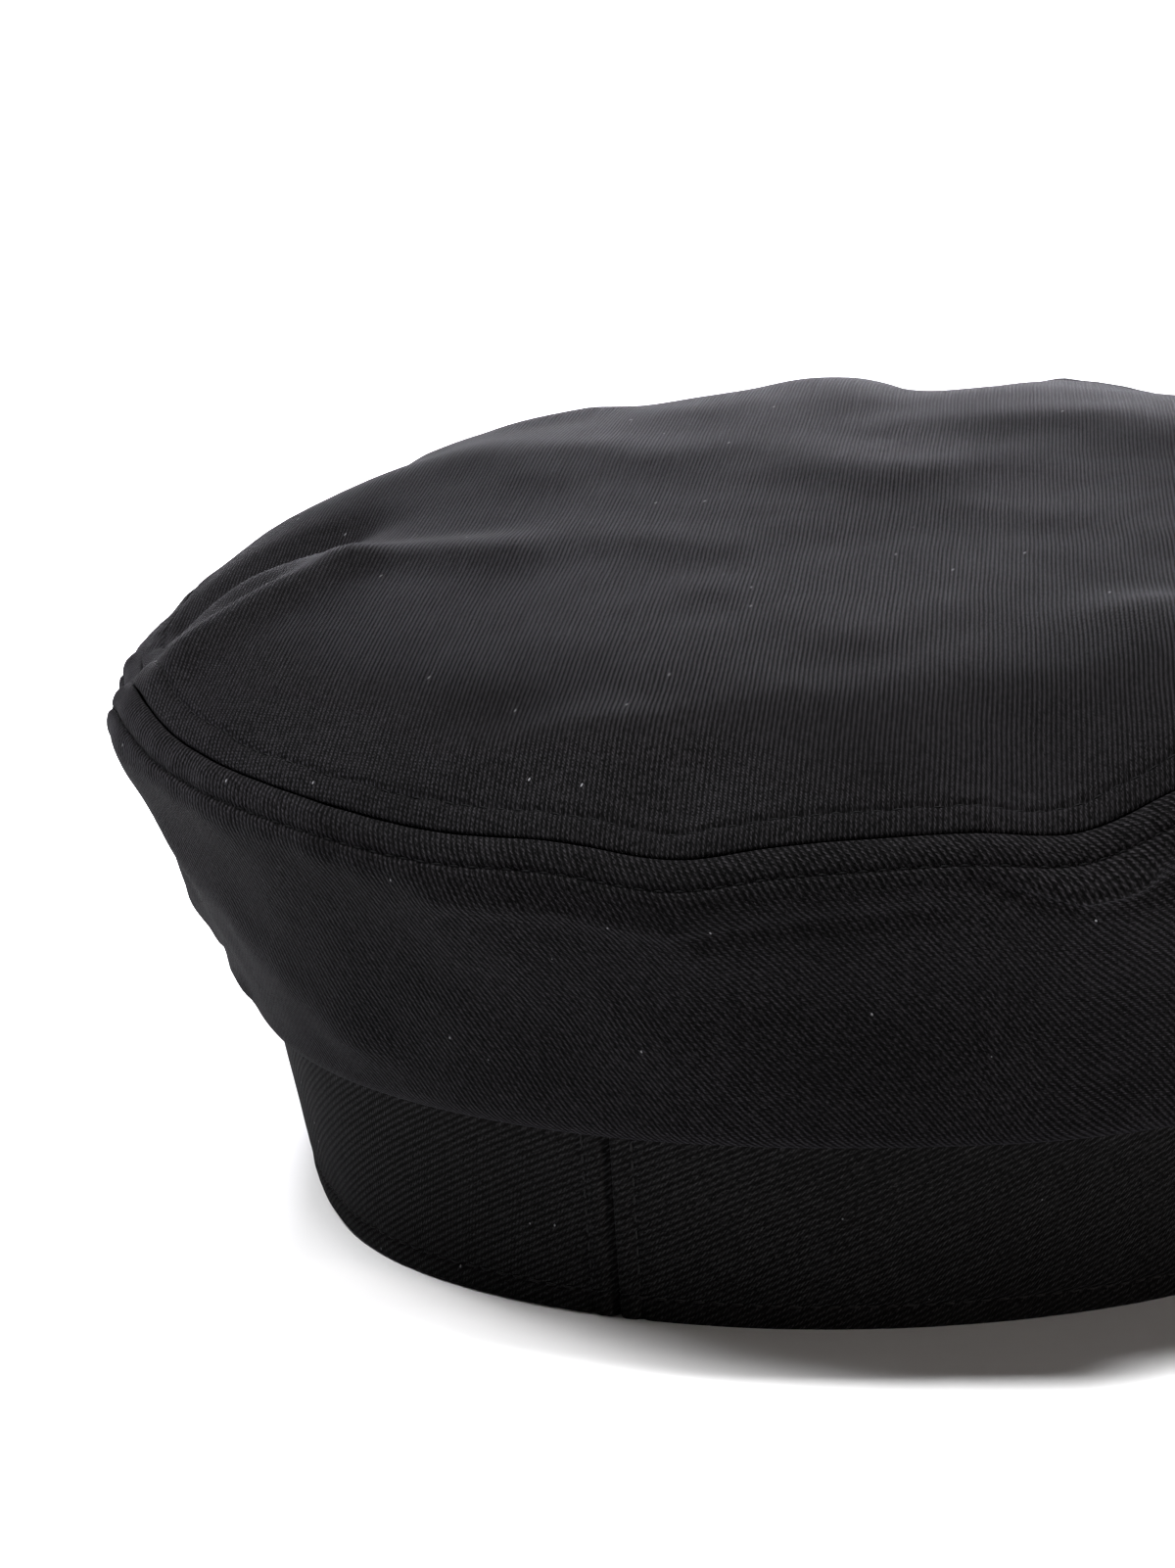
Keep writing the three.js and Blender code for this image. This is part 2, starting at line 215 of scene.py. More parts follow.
def swell(spot, size, kind):
    """Soft chance swelling of worn cloth, from -1 to 1, in lumps about as wide as size. Each
    kind is a pattern of its own."""
    return noise.noise(Vector((spot.x / size, spot.y / size, kind)))


seam_puff = 0.42
stitch_groove = 0.5
stitch_groove_width = 0.45
seam_pucker = 0.5


def seam_relief(distance, run, kind):
    """How far cloth stands out beside a topstitched seam: puffed over its allowance, drawn in
    at the stitches, and puckered. run is the place along the seam."""
    puff = seam_puff * math.exp(-(((distance - 2.5) / 1.8) ** 2))
    groove = -stitch_groove * math.exp(-(((distance - stitch_margin) / stitch_groove_width) ** 2))
    ease_off = 0.2 * math.exp(-(((distance - 6.8) / 1.6) ** 2))
    reach = math.exp(-(((distance - 4.5) / 6) ** 2)) * min(1, distance / 2)
    spot = Vector((run, distance * 0.25))
    pucker = seam_pucker * swell(spot, 5.5, kind) + 0.45 * swell(spot, 13, kind + 5)
    return puff + groove + ease_off + pucker * reach


top_lump = 0.75
top_lump_size = 34
small_top_lump = 0.42
small_top_lump_size = 15


@lru_cache(None)
def top_face(angle, distance):
    """The top's outer face at a distance in from the rim seam along the cloth, as (r, z)."""
    radius = rim_radius(angle)
    inward = distance / rim_steepness
    r = max(radius - piece_gap / 2 - inward, 0)
    share = r / radius
    spot = plan(angle, r)
    wave = rim_height(angle) - crown_level(angle, 1)
    rise = dome_rise * (1 - math.exp(-(radius - r) / shoulder))
    folds = top_fold_height(angle, share) * min(1, (1 - share) / fold_fade)
    lumps = top_lump * swell(spot, top_lump_size, 1)
    lumps += small_top_lump * swell(spot, small_top_lump_size, 2)
    z = crown_level(angle, share) + wave * share**wave_power + rise + folds
    z += lumps * min(1, inward / 12)
    z += seam_relief(distance, math.radians(angle) * radius, 3)
    return Vector((r, z))


first_row = 0.35
row_step = 0.75
fine_row_step = 0.26


def rows_from_seam(end):
    """Distances from a seam for the rows of a mesh, closest together at the stitching."""
    rows = [first_row]
    while rows[-1] < end:
        at_stitches = abs(rows[-1] - stitch_margin) < 1.2
        rows.append(rows[-1] + (fine_row_step if at_stitches else row_step))
    return rows


turn_steps = 6  # mesh steps round the cloth's turn into a seam
under_steps = 5  # and along its allowance


def fold_under(face, start, side):
    """Where cloth turns down into a seam and lies back under itself. face(distance) is its outer
    face beside the seam, and side is 1 where the seam ends the face and -1 where it starts it."""

    def frame_at(distance):
        here = face(distance)
        toward = (here - face(distance + 0.25)).normalized()
        return here, toward, Vector((side * toward.y, -side * toward.x))

    here, toward, down = frame_at(start)
    centre = here + down * edge_round
    turn = [math.radians(180 / turn_steps * step) for step in range(1, turn_steps + 1)]
    points = [centre + edge_round * (toward * math.sin(a) - down * math.cos(a)) for a in turn]
    for step in range(1, under_steps + 1):
        here, toward, down = frame_at(start + (allowance - start) * step / under_steps)
        points.append(here + down * 2 * edge_round)
    return points


margin_rows = rows_from_seam(13.5)
middle_rows = 40


@lru_cache(None)
def top_section(angle):
    """The top's sheet in one section, from the middle out to its allowance."""
    last = margin_rows[-1]
    whole = (rim_radius(angle) - piece_gap / 2) * rim_steepness
    inner = [whole + (last - whole) * step / middle_rows for step in range(middle_rows)]
    rows = inner + margin_rows[::-1]
    face = [top_face(angle, distance) for distance in rows]
    return face + fold_under(lambda distance: top_face(angle, distance), margin_rows[0], 1)


def lengths_under(start):
    """How far along the cloth the points of fold_under lie past its start."""
    steps = range(1, turn_steps + 1)
    turn = [edge_round * math.radians(180 / turn_steps * step) for step in steps]
    steps = range(1, under_steps + 1)
    return turn + [turn[-1] + (allowance - start) * step / under_steps for step in steps]


@lru_cache(None)
def top_lengths(angle):
    """How far along the flat cloth each point of the top's section is from the middle."""
    last = margin_rows[-1]
    whole = (rim_radius(angle) - piece_gap / 2) * rim_steepness
    inner = [(whole - last) * step / middle_rows for step in range(middle_rows)]
    edge = whole - margin_rows[0]
    outer = [whole - distance for distance in margin_rows[::-1]]
    return inner + outer + [edge + length for length in lengths_under(margin_rows[0])]


def spun_sheet(name, section, lengths, flat_place, first_ring, open_at, material, spread=None):
    """A sheet of cloth round the cap. It starts as flat rings, a ring for each row of its
    section, which then take their places. lengths gives each row's place along the flat cut
    cloth, flat_place turns that into a spot on it, with its wales along U, and open_at is the
    angle where the cut is closed by a seam."""
    rows = len(section(0))
    bm = bmesh.new()
    line = [bm.verts.new((0, -first_ring - row, 0)) for row in range(rows)]
    edges = [bm.edges.new(pair) for pair in zip(line, line[1:])]
    bmesh.ops.spin(
        bm,
        geom=line + edges,
        cent=(0, 0, 0),
        axis=(0, 0, 1),
        angle=2 * math.pi,
        steps=columns,
        use_merge=True,
    )
    bmesh.ops.remove_doubles(bm, verts=bm.verts, dist=0.0001)
    cut = bm.loops.layers.uv.new("flat_cloth")

    def turn_of(place):
        turn = math.degrees(math.atan2(place.x, -place.y))
        return spread(turn) if spread else turn

    places = {}
    for vert in bm.verts:
        row = round(vert.co.xy.length) - first_ring
        places[vert] = (round(turn_of(vert.co), 4), row)
    for face in bm.faces:
        middle = turn_between(open_at - 180, turn_of(face.calc_center_median()))
        for loop in face.loops:
            turn, row = places[loop.vert]
            if first_ring + row == 0:
                turn = middle + open_at - 180
            near = middle + open_at - 180 + turn_between(middle + open_at - 180, turn)
            loop[cut].uv = flat_place(near, lengths(turn)[row])
    for vert in bm.verts:
        turn, row = places[vert]
        r, z = section(turn)[row]
        spot = cap_middle + plan(turn, r)
        vert.co = Vector((spot.x, spot.y, z)) * mm
    bmesh.ops.recalc_face_normals(bm, faces=bm.faces)
    outermost = max(bm.faces, key=lambda face: face.calc_center_median().xy.length)
    if outermost.normal.dot(outermost.calc_center_median()) < 0:
        bmesh.ops.reverse_faces(bm, faces=bm.faces)
    mesh = bpy.data.meshes.new(name)
    bm.to_mesh(mesh)
    bm.free()
    mesh.shade_smooth()
    mesh.materials.append(material)
    piece = bpy.data.objects.new(name, mesh)
    bpy.context.scene.collection.objects.link(piece)
    wall = piece.modifiers.new("cloth thickness", "SOLIDIFY")
    wall.thickness = cloth_thickness * mm
    wall.offset = -1
    return piece


def node_with(tree, kind, **settings):
    """A new shader node with its properties set."""
    node = tree.nodes.new(kind)
    for name, value in settings.items():
        setattr(node, name, value)
    return node


def plug(tree, node, **inputs):
    """Sets a node's inputs, or links them where a value is another node's output. A name's
    underscores stand for spaces."""
    for name, value in inputs.items():
        socket = node.inputs[name.replace("_", " ")]
        if isinstance(value, bpy.types.NodeSocket):
            tree.links.new(value, socket)
        else:
            socket.default_value = value
    return node


def reading(tree, kind, vector, **inputs):
    """A node that reads a place, such as a texture."""
    return plug(tree, node_with(tree, kind), Vector=vector, **inputs)


def sum_of(tree, operation, *values):
    """The output of a Math node."""
    node = node_with(tree, "ShaderNodeMath", operation=operation)
    for socket, value in zip(node.inputs, values):
        if isinstance(value, bpy.types.NodeSocket):
            tree.links.new(value, socket)
        else:
            socket.default_value = value
    return node.outputs[0]


def new_group(name, inputs, outputs):
    """A shader node group, and its input and output nodes. inputs are (name, type, value)."""
    group = bpy.data.node_groups.new(name, "ShaderNodeTree")
    for label, kind, value in inputs:
        socket = group.interface.new_socket(label, in_out="INPUT", socket_type=kind)
        if value is not None:
            socket.default_value = value
    for label, kind in outputs:
        group.interface.new_socket(label, in_out="OUTPUT", socket_type=kind)
    return group, group.nodes.new("NodeGroupInput"), group.nodes.new("NodeGroupOutput")


def make_twill_weave():
    """Twill seen close up. Its wales run along U, a wale pitch apart, and each is a row of short
    yarns that lie aslant. Cloth is the place on the flat cloth in millimetres."""
    tree, given, result = new_group(
        "twill_weave",
        [
            ("Cloth", "NodeSocketVector", None),
            ("Wale pitch", "NodeSocketFloat", 0.98),
            ("Yarn pitch", "NodeSocketFloat", 0.42),
            ("Unevenness", "NodeSocketFloat", 0.3),
        ],
        [("Height", "NodeSocketFloat"), ("Ridge", "NodeSocketFloat"), ("Yarn", "NodeSocketFloat")],
    )
    cloth = given.outputs["Cloth"]
    drift = reading(tree, "ShaderNodeTexNoise", cloth, Scale=0.02, Detail=2.0)
    strand = reading(tree, "ShaderNodeTexNoise", cloth, Scale=1.3, Detail=2.0)
    drawn = reading(tree, "ShaderNodeMapping", cloth, Scale=(0.9, 2.1, 1.0))
    fluff = reading(tree, "ShaderNodeTexNoise", drawn.outputs[0], Scale=1.7, Detail=2.0)
    spot = reading(tree, "ShaderNodeSeparateXYZ", cloth)
    shift = sum_of(tree, "MULTIPLY", sum_of(tree, "SUBTRACT", drift.outputs["Fac"], 0.5), 1.6)
    wobble = sum_of(tree, "SUBTRACT", strand.outputs["Fac"], 0.5)
    wobble = sum_of(tree, "MULTIPLY", wobble, given.outputs["Unevenness"])
    across = sum_of(tree, "ADD", spot.outputs["Y"], sum_of(tree, "ADD", shift, wobble))
    wale = sum_of(tree, "DIVIDE", across, given.outputs["Wale pitch"])
    wave = sum_of(tree, "COSINE", sum_of(tree, "MULTIPLY", wale, 2 * math.pi))
    ridge = sum_of(tree, "POWER", sum_of(tree, "MULTIPLY_ADD", wave, 0.5, 0.5), 1.3)
    yarn_lean = math.radians(32)
    slanting = sum_of(tree, "MULTIPLY", spot.outputs["X"], math.sin(yarn_lean))
    upright = sum_of(tree, "MULTIPLY", across, math.cos(yarn_lean))
    slanting = sum_of(tree, "SUBTRACT", slanting, upright)
    yarn = sum_of(tree, "DIVIDE", slanting, given.outputs["Yarn pitch"])
    yarn = sum_of(tree, "COSINE", sum_of(tree, "MULTIPLY", yarn, 2 * math.pi))
    yarn = sum_of(tree, "MULTIPLY_ADD", yarn, 0.5, 0.5)
    round_yarn = sum_of(tree, "MULTIPLY", ridge, sum_of(tree, "MULTIPLY_ADD", yarn, 0.6, 0.4))
    uneven = sum_of(tree, "MULTIPLY_ADD", fluff.outputs["Fac"], 5.2, -1.9)
    uneven = sum_of(tree, "MAXIMUM", uneven, 0.05)
    # Yarn, how far a spot stands out of the weave, drives the colour: painted shade in the hollows
    # between yarns, and paler raised yarns, which is partly real wear.
    lit_yarn = sum_of(tree, "MULTIPLY", round_yarn, uneven)
    height = sum_of(tree, "MULTIPLY_ADD", fluff.outputs["Fac"], 0.3, round_yarn)
    tree.links.new(height, result.inputs["Height"])
    tree.links.new(ridge, result.inputs["Ridge"])
    tree.links.new(lit_yarn, result.inputs["Yarn"])
    return tree


def make_washed_dye_and_weave_shade():
    """Black dye after washing and wear, in soft clouds, with specks of lint, and with painted shade in
    the weave: the dark colour where the yarns sink, Faded where they are raised, which is partly real
    wear. Place is the spot on the object in millimetres."""
    tree, given, result = new_group(
        "washed_dye_and_weave_shade",
        [
            ("Place", "NodeSocketVector", None),
            ("Raised", "NodeSocketFloat", 0.5),
            ("Deep", "NodeSocketColor", (0.006, 0.006, 0.007, 1)),
            ("Faded", "NodeSocketColor", (0.03, 0.03, 0.033, 1)),
            ("Lint", "NodeSocketFloat", 0.24),
        ],
        [("Colour", "NodeSocketColor")],
    )
    place = given.outputs["Place"]
    cloud = reading(tree, "ShaderNodeTexNoise", place, Scale=0.03, Detail=4.0)
    fleck = reading(tree, "ShaderNodeTexNoise", place, Scale=0.9, Detail=2.0)
    wash = sum_of(tree, "MULTIPLY_ADD", cloud.outputs["Fac"], 1.4, 0.3)
    speck = sum_of(tree, "MULTIPLY_ADD", fleck.outputs["Fac"], 0.5, -0.25)
    # The mix runs from painted shade in the weave's hollows to Faded on the raised yarns, which is
    # partly real wear.
    share = sum_of(tree, "MULTIPLY", sum_of(tree, "ADD", given.outputs["Raised"], speck), wash)
    dye = node_with(tree, "ShaderNodeMix", data_type="RGBA")
    tree.links.new(share, dye.inputs[0])
    tree.links.new(given.outputs["Deep"], dye.inputs[6])
    tree.links.new(given.outputs["Faded"], dye.inputs[7])
    bend = reading(tree, "ShaderNodeTexNoise", place, Scale=0.25)
    bent = node_with(tree, "ShaderNodeMix", data_type="VECTOR")
    bent.inputs[0].default_value = 0.35
    tree.links.new(place, bent.inputs[4])
    tree.links.new(bend.outputs["Color"], bent.inputs[5])
    stretched = reading(tree, "ShaderNodeMapping", bent.outputs[1], Scale=(1.0, 0.3, 0.6))
    fibre = reading(tree, "ShaderNodeTexVoronoi", stretched.outputs[0], Scale=0.42)
    thin = sum_of(tree, "LESS_THAN", fibre.outputs["Distance"], 0.04)
    cell = plug(tree, node_with(tree, "ShaderNodeSeparateColor"), Color=fibre.outputs["Color"])
    rare = sum_of(tree, "GREATER_THAN", cell.outputs[0], 0.5)
    lint = sum_of(tree, "MULTIPLY", sum_of(tree, "MULTIPLY", thin, rare), given.outputs["Lint"])
    dusty = node_with(tree, "ShaderNodeMix", data_type="RGBA")
    tree.links.new(lint, dusty.inputs[0])
    tree.links.new(dye.outputs[2], dusty.inputs[6])
    dusty.inputs[7].default_value = (0.35, 0.35, 0.37, 1)
    tree.links.new(dusty.outputs[2], result.inputs["Colour"])
    return tree


twill_weave = make_twill_weave()
washed_dye_and_weave_shade = make_washed_dye_and_weave_shade()


def make_twill(name, deep, faded, wale_pitch, sheen):
    """Cotton twill: matt, ribbed aslant, with the short fuzz of washed cotton."""
    material = bpy.data.materials.new(name)
    material.use_nodes = True
    tree = material.node_tree
    shader = tree.nodes["Principled BSDF"]
    flat_cloth = node_with(tree, "ShaderNodeUVMap", uv_map="flat_cloth")
    place = node_with(tree, "ShaderNodeTexCoord")
    millimetres = node_with(tree, "ShaderNodeVectorMath", operation="SCALE")
    tree.links.new(place.outputs["Object"], millimetres.inputs[0])
    millimetres.inputs["Scale"].default_value = 1 / mm
    weave = node_with(tree, "ShaderNodeGroup", node_tree=twill_weave)
    plug(tree, weave, Cloth=flat_cloth.outputs["UV"], Wale_pitch=wale_pitch)
    # The dye paints shade into the weave's hollows as well as the cloth's wear.
    dye = node_with(tree, "ShaderNodeGroup", node_tree=washed_dye_and_weave_shade)
    plug(tree, dye, Place=millimetres.outputs[0], Raised=weave.outputs["Yarn"])
    plug(tree, dye, Deep=deep, Faded=faded)
    rough = sum_of(tree, "MULTIPLY_ADD", weave.outputs["Ridge"], -0.12, 0.95)
    ribs = node_with(tree, "ShaderNodeBump")
    plug(tree, ribs, Height=weave.outputs["Height"], Strength=1.0, Distance=0.28 * mm)
    plug(tree, shader, Base_Color=dye.outputs["Colour"], Roughness=rough, Normal=ribs.outputs[0])
    plug(tree, shader, Sheen_Weight=sheen, Sheen_Roughness=0.3, Sheen_Tint=(0.84, 0.8, 1.0, 1))
    plug(tree, shader, Specular_IOR_Level=0.03)
    return material


# The colour in the weave's hollows is painted shade, far darker than the cloth itself.
crown_hollow_shade = (0.0002, 0.0002, 0.00022, 1)
crown_faded = (0.0122, 0.0113, 0.0126, 1)
top_cloth = make_twill("top_cloth", crown_hollow_shade, crown_faded, 0.9, 0.014)
top_wale_angle = 111.5
wale_fan = 1100  # how far ahead the top's wales would meet, as the cloth is drawn in at the front


def turned(spot, wale_angle):
    """A place on flat cloth turned so that its wales run along U."""
    a = math.radians(wale_angle)
    along_wale = spot.x * math.cos(a) + spot.y * math.sin(a)
    return (along_wale, spot.y * math.cos(a) - spot.x * math.sin(a))


def top_flat(angle, length):
    """A spot on the top's flat cloth, from its angle and its distance from the middle."""
    along_wale, across = turned(plan(angle, length), top_wale_angle)
    return (along_wale, across * (1 + along_wale / wale_fan))


top_panel = spun_sheet("top_panel_cloth", top_section, top_lengths, top_flat, 0, 180, top_cloth)
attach(top_panel, "root")
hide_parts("top_panel")

# Side panel
# One curved band of the same twill. It is sewn to the top along the rim seam, slopes down and in
# past it, and rolls over the headband's top edge, to which it is sewn. Its two ends meet in a
# plain pressed seam at the centre front.

band_flare = 6
band_wall = 2.4
band_give = 1.6
side_bulge = 3.4
side_fold_depth = 2.2
overhang = 5.6
roll_drop = 6.5
side_rows = 52

# How far the roll hangs, as shares of roll_drop, and stands out, as shares of overhang.
roll_rows = [
    {"angle": -150, "droop": 0.9, "out": 1.0},
    {"angle": -115, "droop": 1.2, "out": 1.05},
    {"angle": -85, "droop": 1.3, "out": 0.95},
    {"angle": -66, "droop": 1.4, "out": 1.0},
    {"angle": -61, "droop": 1.34, "out": 0.86},
    {"angle": -55, "droop": 1.3, "out": 0.48},
    {"angle": -46, "droop": 1.15, "out": 0.6},
    {"angle": -28, "droop": 1.05, "out": 0.9},
    {"angle": -5, "droop": 0.95, "out": 1.0},
    {"angle": 25, "droop": 0.9, "out": 1.0},
    {"angle": 50, "droop": 1.05, "out": 1.0},
    {"angle": 85, "droop": 1.2, "out": 0.95},
    {"angle": 125, "droop": 0.95, "out": 1.05},
    {"angle": 170, "droop": 1.0, "out": 1.0},
]

# Where the band is pressed in or out, as shares of band_give, and how much it leans out, as
# shares of band_flare.
band_rows = [
    {"angle": -150, "out": 0.3, "flare": 1.0},
    {"angle": -100, "out": -0.9, "flare": 1.2},
    {"angle": -66, "out": -2.8, "flare": 1.6},
    {"angle": -46, "out": -1.9, "flare": 1.45},
    {"angle": -24, "out": 0.4, "flare": 1.0},
    {"angle": 3, "out": -0.2, "flare": 1.0},
    {"angle": 24, "out": -1.0, "flare": 1.0},
    {"angle": 42, "out": -0.9, "flare": 1.0},
    {"angle": 62, "out": -0.1, "flare": 0.9},
    {"angle": 100, "out": 0.4, "flare": 0.9},
    {"angle": 150, "out": -0.3, "flare": 1.0},
]

# Soft folds of the side, each along a line from one angle and level to another. Levels run from
# 0 at the roll to 1 near the rim, widths are in levels too, and depths are shares of
# side_fold_depth, with those below zero pressed in.
side_folds = [
    {"angle": -64, "level": 0.1, "to_angle": -50, "to_level": 0.35, "width": 0.16, "depth": 0.7},
    {"angle": -45, "level": 0.9, "to_angle": -18, "to_level": 0.15, "width": 0.16, "depth": 0.55},
    {"angle": -15, "level": 0.8, "to_angle": 0, "to_level": 0.4, "width": 0.2, "depth": -0.5},
    {"angle": 10, "level": 0.6, "to_angle": 40, "to_level": 0.45, "width": 0.2, "depth": -0.6},
    {"angle": 42, "level": 1.0, "to_angle": 50, "to_level": 0.7, "width": 0.14, "depth": 0.8},
    {"angle": 75, "level": 0.8, "to_angle": 95, "to_level": 0.3, "width": 0.18, "depth": -0.6},
    {"angle": 120, "level": 0.8, "to_angle": 140, "to_level": 0.2, "width": 0.2, "depth": 0.6},
    {"angle": 170, "level": 0.7, "to_angle": -165, "to_level": 0.3, "width": 0.2, "depth": -0.6},
    {"angle": -110, "level": 0.85, "to_angle": -125, "to_level": 0.3, "width": 0.18, "depth": 0.6},
    {"angle": -82, "level": 0.8, "to_angle": -90, "to_level": 0.35, "width": 0.16, "depth": -0.6},
    {"angle": -66, "level": 0.38, "to_angle": -56, "to_level": 0.2, "width": 0.09, "depth": 0.5},
    {"angle": -57, "level": 0.07, "to_angle": -43, "to_level": 0.02, "width": 0.06, "depth": 1.0},
    {"angle": 37, "level": 1.04, "to_angle": 45, "to_level": 0.98, "width": 0.05, "depth": 0.85},
    {"angle": 33, "level": 1.06, "to_angle": 40, "to_level": 0.94, "width": 0.028, "depth": -0.75},
    {"angle": 42, "level": 0.93, "to_angle": 50, "to_level": 0.9, "width": 0.05, "depth": -0.5},
    {"angle": -6, "level": 0.95, "to_angle": 12, "to_level": 0.93, "width": 0.05, "depth": 0.35},
    {"angle": 14, "level": 0.88, "to_angle": 30, "to_level": 0.92, "width": 0.04, "depth": -0.35},
]

# The side beside the rim seam: how far down, in shares of the margin, and how far out, in shares
# of side_bulge.
side_margin = 6
side_margin_rows = [
    {"down": 0.04, "out": 0.0},
    {"down": 0.2, "out": 0.34},
    {"down": 0.45, "out": 0.66},
    {"down": 0.75, "out": 0.92},
    {"down": 1.05, "out": 1.04},
    {"down": 1.35, "out": 0.98},
]
side_levels = [0.82, 0.64, 0.46, 0.28, 0.12]

# The side round its roll: how far out from the band, as shares of overhang, and how far up from
# its lowest point, as shares of roll_drop.
roll_face_rows = [
    {"out": 1.18, "up": 0.75},
    {"out": 1.0, "up": 0.28},
    {"out": 0.58, "up": 0.0},
    {"out": 0.16, "up": 0.3},
]


@lru_cache(None)
def band_shape(angle):
    """The band's radius at its lower edge, and how far it leans out to its top."""
    radius = oval_radius(head_length, head_width, angle)
    radius += band_give * along(band_rows, "out", angle)
    return radius, band_flare * along(band_rows, "flare", angle)


def band_radius(angle, z):
    """How far out the band's plain face is at an angle and a height."""
    radius, lean = band_shape(angle)
    return radius + lean * z / band_height


def side_fold(angle, level):
    """How far the folds press the side out at an angle and a level."""
    degree = math.radians(rim_radius(angle)) / ((rise_front + rise_back) / 2)
    depth = 0
    for fold in side_folds:
        place = Vector((turn_between(fold["angle"], angle) * degree, level))
        start = Vector((0, fold["level"]))
        end = Vector((turn_between(fold["angle"], fold["to_angle"]) * degree, fold["to_level"]))
        distance = distance_to_line(place, start, end)
        depth += side_fold_depth * fold["depth"] * math.exp(-((distance / fold["width"]) ** 2))
    return depth


def smooth_through(points, steps):
    """Points on a smooth curve through points, with each stretch of it in equal steps."""
    chords = [(after - here).length for here, after in zip(points, points[1:])]
    slopes = [(points[1] - points[0]) / chords[0]]
    for i in range(1, len(points) - 1):
        slopes.append((points[i + 1] - points[i - 1]) / (chords[i - 1] + chords[i]))
    slopes.append((points[-1] - points[-2]) / chords[-1])
    curve = []
    for i, chord in enumerate(chords):
        for step in range(steps):
            t = step / steps
            curve.append(ease(points[i], slopes[i], points[i + 1], slopes[i + 1], chord, t))
    return curve + [points[-1]]


@lru_cache(None)
def side_line(angle):
    """The side's plain outer face in one section, as a curve with the distance to each point,
    and the heights at its levels 0 and 1."""
    radius = rim_radius(angle) + piece_gap / 2
    height = rim_height(angle)
    stand = overhang * along(roll_rows, "out", angle)
    lowest = band_height - roll_drop * along(roll_rows, "droop", angle)
    margin = [
        Vector((radius + row["out"] * side_bulge, height - row["down"] * side_margin))
        for row in side_margin_rows
    ]
    roll = []
    for row in roll_face_rows:
        z = lowest + row["up"] * roll_drop
        roll.append(Vector((band_radius(angle, z) + row["out"] * stand, z)))
    slope = [roll[0].lerp(margin[-1], level) for level in side_levels]
    corner = band_radius(angle, band_height)
    beside = (lowest + band_height) / 2
    tuck = [
        Vector((band_radius(angle, beside) + piece_gap, beside)),
        Vector((corner + piece_gap * math.sqrt(0.5), band_height + piece_gap * math.sqrt(0.5))),
        Vector((corner - band_wall, band_height + piece_gap)),
    ]
    curve = smooth_through(margin + slope + roll + tuck, 6)
    lengths = [0]
    for here, after in zip(curve, curve[1:]):
        lengths.append(lengths[-1] + (after - here).length)
    return curve, lengths, roll[0].y, margin[-1].y


side_lump = 0.75
side_lump_size = 26
small_side_lump = 0.38
small_side_lump_size = 11
side_seam_angle = 180
side_seam_groove = 0.8
side_seam_puff = 0.3
smooth_end = 14  # how much of the side's inner end lies plain on the band


@lru_cache(None)
def side_face(angle, distance):
    """The side's outer face at a distance along the cloth from the rim seam, as (r, z)."""
    curve, lengths, low, high = side_line(angle)
    at = max(i for i, length in enumerate(lengths[:-1]) if length <= distance)
    here, after = curve[at], curve[at + 1]
    share = (distance - lengths[at]) / (lengths[at + 1] - lengths[at])
    spot = here.lerp(after, share)
    way = (after - here).normalized()
    out = Vector((-way.y, way.x))
    level = (spot.y - low) / (high - low)
    sloping = min(1, max(0, (1.1 - level) * 10)) * min(1, max(0, level * 5 + 0.3))
    if distance > lengths[-1] - smooth_end:
        sloping = 0
    run = math.radians(angle) * rim_radius(angle)
    place = Vector((run, distance))
    lumps = side_lump * swell(place, side_lump_size, 7)
    lumps += small_side_lump * swell(place, small_side_lump_size, 8)
    arc = math.radians(turn_between(side_seam_angle, angle)) * rim_radius(angle)
    seam = side_seam_puff * math.exp(-(((abs(arc) - 2.6) / 1.6) ** 2))
    seam -= side_seam_groove * math.exp(-((arc / 0.9) ** 2))
    relief = (side_fold(angle, level) + lumps + seam) * sloping
    return spot + out * (relief + seam_relief(distance, run, 9))


@lru_cache(None)
def side_section(angle):
    """The side's sheet in one section, from its allowance behind the rim seam to the band."""
    last = margin_rows[-1]
    whole = side_line(angle)[1][-1]
    rest = [last + (whole - last) * step / side_rows for step in range(1, side_rows)]
    rows = margin_rows + rest + [whole * 0.9999]
    under = fold_under(lambda distance: side_face(angle, distance), margin_rows[0], -1)
    return under[::-1] + [side_face(angle, distance) for distance in rows]


@lru_cache(None)
def side_lengths(angle):
    """How far along the flat cloth each point of the side's section is from its upper edge."""
    under = lengths_under(margin_rows[0])
    last = margin_rows[-1]
    whole = side_line(angle)[1][-1]
    rest = [last + (whole - last) * step / side_rows for step in range(1, side_rows + 1)]
    face = [distance - margin_rows[0] for distance in margin_rows + rest]
    return [under[-1] - length for length in under[::-1]] + [under[-1] + length for length in face]


side_cloth = make_twill("side_cloth", crown_hollow_shade, crown_faded, 0.82, 0.014)
side_wale_angle = -61
side_cone = 0.22  # the side is cut curved, as part of a cone whose flat turn is this share
side_edge_radius = 118
side_flat_radius = side_edge_radius / side_cone


def side_flat(angle, length):
    """A spot on the side's flat cloth, from its angle and its distance from the upper edge."""
    a = math.radians(angle * side_cone)
    spot = Vector((math.sin(a), math.cos(a))) * (side_flat_radius - length)
    return turned(spot, side_wale_angle)


side_panel = spun_sheet(
    "side_panel_cloth", side_section, side_lengths, side_flat, 10, side_seam_angle, side_cloth
)
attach(side_panel, "root")
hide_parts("side_panel")

# Headband
# An upright band of doubled twill, folded at its lower edge and stitched there. Its ends meet in
# a pressed-open seam at the centre back, with a row of stitching on each side.

